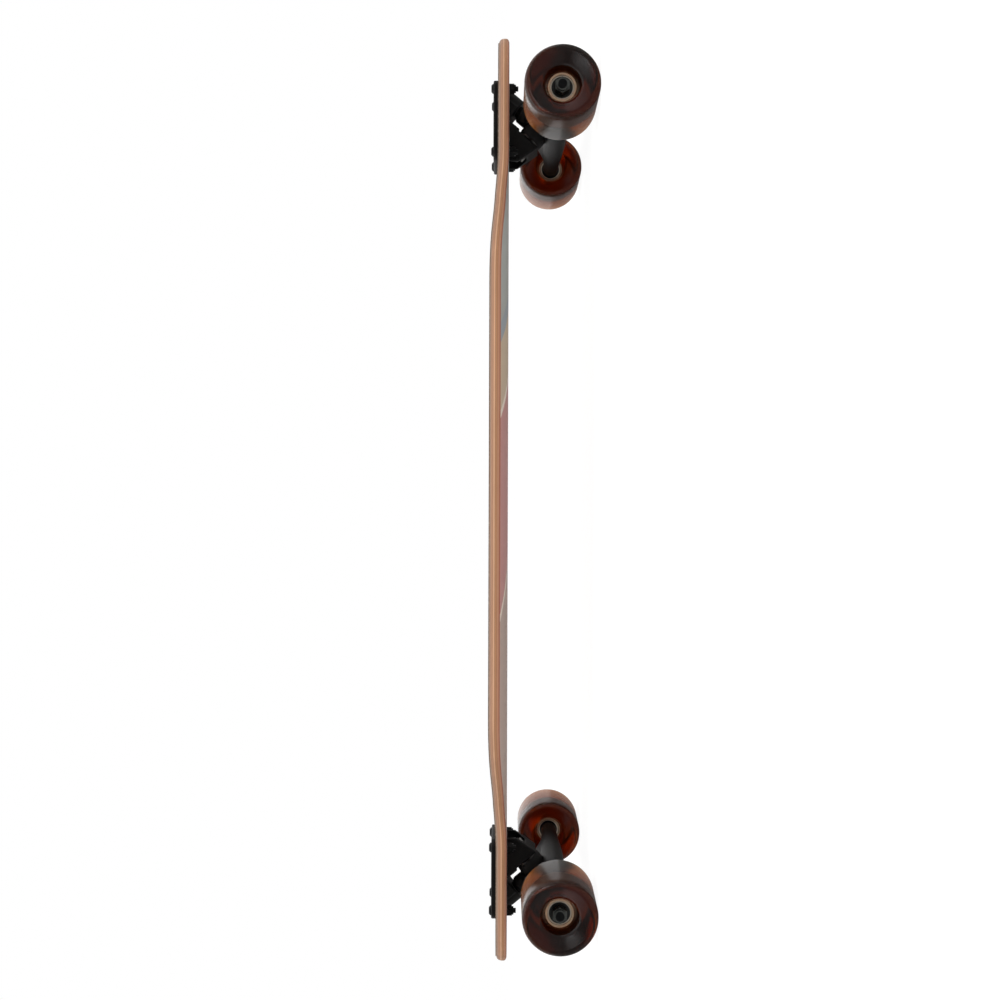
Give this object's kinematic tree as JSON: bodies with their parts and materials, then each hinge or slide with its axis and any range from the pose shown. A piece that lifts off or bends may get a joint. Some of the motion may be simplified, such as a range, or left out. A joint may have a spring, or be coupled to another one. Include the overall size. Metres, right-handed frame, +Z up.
{
  "type": "longboard skateboard",
  "caption": "Drop-through longboard with a concave laminated deck, reverse-kingpin trucks that steer on bushings, and translucent urethane wheels on ball bearings.",
  "frame": {"origin": "on the floor, below the middle of the deck", "axes": "+X to the nose, +Y to the left side, +Z up"},
  "size_m": [0.94, 0.254, 0.1007],
  "materials": {
    "deck_plies": "bare laminated maple, satin",
    "painted_veneer": "veneer with matte painted colour bands",
    "grip": "gritty, matte",
    "truck_casting": "satin black powder coat on cast aluminium",
    "cup_urethane": "matte black urethane",
    "bushing_urethane": "dark urethane",
    "steel": "bright zinc plate",
    "dark_fasteners": "black oxide",
    "bearing_steel": "ground steel",
    "shield_steel": "blackened sheet",
    "wheel_urethane": "translucent root-beer urethane, glossy",
    "wheel_core": "pale moulded core"
  },
  "bodies": {
    "deck": {"deck_core": "deck_plies", "deck_top_veneer": "deck_plies", "deck_bottom_veneer": "painted_veneer", "grip_sheet": "grip", "front_baseplate": "truck_casting", "front_pivot_cup": "cup_urethane", "front_mounting_bolts": "dark_fasteners", "front_mounting_nuts": "dark_fasteners", "front_kingpin": "steel", "front_kingpin_nut": "dark_fasteners", "front_boardside_washer": "steel", "front_roadside_washer": "steel", "front_boardside_bushing": "bushing_urethane", "front_roadside_bushing": "bushing_urethane", "rear_baseplate": "truck_casting", "rear_pivot_cup": "cup_urethane", "rear_mounting_bolts": "dark_fasteners", "rear_mounting_nuts": "dark_fasteners", "rear_kingpin": "steel", "rear_kingpin_nut": "dark_fasteners", "rear_boardside_washer": "steel", "rear_roadside_washer": "steel", "rear_boardside_bushing": "bushing_urethane", "rear_roadside_bushing": "bushing_urethane"},
    "front_hanger": {"front_hanger": "truck_casting", "front_axle": "steel", "front_axle_nuts": "dark_fasteners", "front_speed_washers": "steel", "front_bearing_spacers": "steel", "front_bearing_inner_races": "bearing_steel"},
    "rear_hanger": {"rear_hanger": "truck_casting", "rear_axle": "steel", "rear_axle_nuts": "dark_fasteners", "rear_speed_washers": "steel", "rear_bearing_spacers": "steel", "rear_bearing_inner_races": "bearing_steel"},
    "front_left_wheel": {"front_left_tyre": "wheel_urethane", "front_left_core": "wheel_core", "front_left_bearing_outer_races": "bearing_steel", "front_left_bearing_shields": "shield_steel"},
    "front_left_balls": {"front_left_bearing_balls": "bearing_steel", "front_left_bearing_cages": "shield_steel"},
    "front_right_wheel": {"front_right_tyre": "wheel_urethane", "front_right_core": "wheel_core", "front_right_bearing_outer_races": "bearing_steel", "front_right_bearing_shields": "shield_steel"},
    "front_right_balls": {"front_right_bearing_balls": "bearing_steel", "front_right_bearing_cages": "shield_steel"},
    "rear_left_wheel": {"rear_left_tyre": "wheel_urethane", "rear_left_core": "wheel_core", "rear_left_bearing_outer_races": "bearing_steel", "rear_left_bearing_shields": "shield_steel"},
    "rear_left_balls": {"rear_left_bearing_balls": "bearing_steel", "rear_left_bearing_cages": "shield_steel"},
    "rear_right_wheel": {"rear_right_tyre": "wheel_urethane", "rear_right_core": "wheel_core", "rear_right_bearing_outer_races": "bearing_steel", "rear_right_bearing_shields": "shield_steel"},
    "rear_right_balls": {"rear_right_bearing_balls": "bearing_steel", "rear_right_bearing_cages": "shield_steel"}
  },
  "joints": [
    {"name": "front_steer", "type": "hinge", "parent": "deck", "child": "front_hanger", "pos_m": [0.37094, 0, 0.03707], "axis": [0.6428, 0, 0.766], "range_deg": [-18, 18], "stiffness_Nm_per_rad": 40, "deforming": ["front_boardside_bushing", "front_roadside_bushing"]},
    {"name": "rear_steer", "type": "hinge", "parent": "deck", "child": "rear_hanger", "pos_m": [-0.37094, 0, 0.03707], "axis": [-0.6428, 0, 0.766], "range_deg": [-18, 18], "stiffness_Nm_per_rad": 40, "deforming": ["rear_boardside_bushing", "rear_roadside_bushing"]},
    {"name": "front_left_roll", "type": "hinge", "parent": "front_hanger", "child": "front_left_wheel", "pos_m": [0.374, 0.1015, 0.0345], "axis": [0, 1, 0], "continuous": true},
    {"name": "front_left_ball_roll", "type": "hinge", "parent": "front_hanger", "child": "front_left_balls", "pos_m": [0.374, 0.1015, 0.0345], "axis": [0, 1, 0], "continuous": true},
    {"name": "front_right_roll", "type": "hinge", "parent": "front_hanger", "child": "front_right_wheel", "pos_m": [0.374, -0.1015, 0.0345], "axis": [0, 1, 0], "continuous": true},
    {"name": "front_right_ball_roll", "type": "hinge", "parent": "front_hanger", "child": "front_right_balls", "pos_m": [0.374, -0.1015, 0.0345], "axis": [0, 1, 0], "continuous": true},
    {"name": "rear_left_roll", "type": "hinge", "parent": "rear_hanger", "child": "rear_left_wheel", "pos_m": [-0.374, 0.1015, 0.0345], "axis": [0, 1, 0], "continuous": true},
    {"name": "rear_left_ball_roll", "type": "hinge", "parent": "rear_hanger", "child": "rear_left_balls", "pos_m": [-0.374, 0.1015, 0.0345], "axis": [0, 1, 0], "continuous": true},
    {"name": "rear_right_roll", "type": "hinge", "parent": "rear_hanger", "child": "rear_right_wheel", "pos_m": [-0.374, -0.1015, 0.0345], "axis": [0, 1, 0], "continuous": true},
    {"name": "rear_right_ball_roll", "type": "hinge", "parent": "rear_hanger", "child": "rear_right_balls", "pos_m": [-0.374, -0.1015, 0.0345], "axis": [0, 1, 0], "continuous": true}
  ],
  "couplings": [
    {"joint": "front_left_ball_roll", "follows": "front_left_roll", "ratio": 0.63233},
    {"joint": "front_right_ball_roll", "follows": "front_right_roll", "ratio": 0.63233},
    {"joint": "rear_left_ball_roll", "follows": "rear_left_roll", "ratio": 0.63233},
    {"joint": "rear_right_ball_roll", "follows": "rear_right_roll", "ratio": 0.63233}
  ]
}
